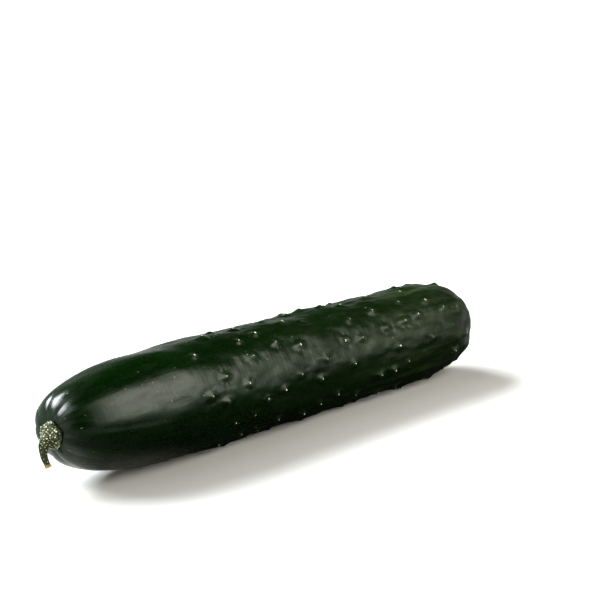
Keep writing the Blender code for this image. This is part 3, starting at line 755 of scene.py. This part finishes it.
def tableMaterial(name, hexColour, paintedShadeHex=None):
    # matt white laminate; with a second colour it gets painted shade, a soft dark patch in front of the
    # fruit, and painted light, a white spot under the stalk
    material, tree, shader = newMaterial(name)
    shader.inputs["Base Color"].default_value = linearColour(hexColour)
    shader.inputs["Roughness"].default_value = 0.9
    shader.inputs["Specular IOR Level"].default_value = 0.1
    if paintedShadeHex:
        place = addNode(tree, "TexCoord").outputs["Object"]
        links = {}
        # first the painted shade, then the spot of painted light over it
        for patch, paintedHex in (("paintedShade", paintedShadeHex), ("spot", stage["paintedLightHex"])):
            inEllipse = addNode(tree, "Mapping", {"Location": stage[patch + "Shift"],
                                                  "Scale": stage[patch + "Scale"]}, {0: place})
            away = addNode(tree, "VectorMath", {"operation": "LENGTH"}, {0: inEllipse}).outputs["Value"]
            share = addNode(tree, "MapRange", {"interpolation_type": "SMOOTHSTEP", "From Min": 0.5,
                                               "From Max": 1.2}, {0: away})
            colour = addNode(tree, "Mix", {"data_type": "RGBA", 6: linearColour(paintedHex),
                                           7: linearColour(hexColour)}, {0: share, **links})
            links = {7: colour}                                 # the painted light lies over the painted shade
        tree.links.new(colour.outputs[2], shader.inputs["Base Color"])
    return material


def addLamp(name, at, facing, size, power, hexColour, lights="both"):
    lamp = bpy.data.lights.new(name, "AREA")
    lamp.shape = "RECTANGLE"
    lamp.size, lamp.size_y = size
    lamp.energy = power
    lamp.color = linearColour(hexColour)[:3]
    lampObject = bpy.data.objects.new(name, lamp)
    lampObject.location = at
    lampObject.rotation_euler = Vector(facing).to_track_quat("-Z", "Y").to_euler()
    lampObject.visible_camera = False
    lampObject.visible_glossy = lights != "matt"
    lampObject.visible_diffuse = lights != "gloss"
    bpy.context.scene.collection.objects.link(lampObject)


def addTable(name, height, *colours):
    bm = bmesh.new()
    bmesh.ops.create_grid(bm, x_segments=1, y_segments=1, size=stage["floorSize"] / 2,
                          matrix=Matrix.Translation((0, 0, height)))
    table = pieceFrom(bm, name, tableMaterial(name, *colours))
    return table


# the white table is bleached out, as in the photograph, so the gloss sees a darker one in its place
addTable("whiteTable", -0.1 * mm, stage["floorHex"]).visible_glossy = False
# the gloss's table carries painted shade in front of the fruit and painted light under the stalk
mirroredTable = addTable("mirroredTable", -0.06 * mm, stage["mirroredHex"], stage["paintedShadeHex"])
mirroredTable.visible_camera = mirroredTable.visible_diffuse = mirroredTable.visible_shadow = False
mirroredTable.visible_transmission = False

for name, (azimuth, height, size, power, hexColour, lights) in stage["farLamps"].items():
    turn, rise = math.radians(azimuth), math.radians(height)
    at = stage["farAway"] * Vector((math.cos(rise) * math.cos(turn), math.cos(rise) * math.sin(turn),
                                    math.sin(rise)))
    addLamp(name, at, -at, size, power, hexColour, lights)
for number, (at, size, power, hexColour, lights) in enumerate(stage["panels"]):
    addLamp(f"frontPanel{number}", at, stage["panelAim"], size, power, hexColour, lights)

# the room that the gloss mirrors: pale from the floor to just above eye level and dark overhead,
# with a lit wall beyond the stalk end and an unlit part on the near side
world = bpy.data.worlds.new("studioRoom")
world.use_nodes = True
bpy.context.scene.world = world
room = world.node_tree
sky = addNode(room, "TexCoord").outputs["Generated"]
up = addNode(room, "SeparateXYZ", {}, {0: sky}).outputs[2]
share = addNode(room, "MapRange", {"From Min": -1.0, "From Max": 1.0}, {0: up})
level = addNode(room, "ValToRGB", {}, {0: share})
while len(level.color_ramp.elements) < len(stage["room"]):
    level.color_ramp.elements.new(0.5)
for element, (height, grey) in zip(level.color_ramp.elements, stage["room"]):
    element.position = (height + 1) / 2
    element.color = (grey, grey, grey, 1)
facing = addNode(room, "VectorMath", {"operation": "DOT_PRODUCT", 1: stage["wallTowards"]}, {0: sky})
wallFrom, wallTo = stage["wallSpread"]
wall = addNode(room, "MapRange", {"interpolation_type": "SMOOTHSTEP", "From Min": wallFrom,
                                  "From Max": wallTo, "To Max": stage["wallGlow"]},
               {0: facing.outputs["Value"]})
facing = addNode(room, "VectorMath", {"operation": "DOT_PRODUCT", 1: stage["unlitTowards"]}, {0: sky})
unlitFrom, unlitTo = stage["unlitSpread"]
unlit = addNode(room, "MapRange", {"interpolation_type": "SMOOTHSTEP", "From Min": unlitFrom,
                                   "From Max": unlitTo, "To Min": 1.0, "To Max": stage["unlitShare"]},
                {0: facing.outputs["Value"]})
light = addNode(room, "Math", {"operation": "MULTIPLY_ADD"}, {0: level, 1: unlit, 2: wall})
room.links.new(light.outputs[0], room.nodes["Background"].inputs["Color"])

camera = bpy.data.cameras.new("photoCamera")
camera.lens = stage["lens"]
camera.sensor_width = 36
camera.clip_end = 50
cameraObject = bpy.data.objects.new("photoCamera", camera)
cameraObject.location = stage["cameraAt"]
cameraObject.rotation_euler = Vector(stage["cameraAim"]).to_track_quat("-Z", "Y").to_euler()
bpy.context.scene.collection.objects.link(cameraObject)
bpy.context.scene.camera = cameraObject
bpy.context.scene.view_settings.view_transform = "Standard"
bpy.context.scene.view_settings.look = "Medium High Contrast"
print("table, lamps and camera placed")
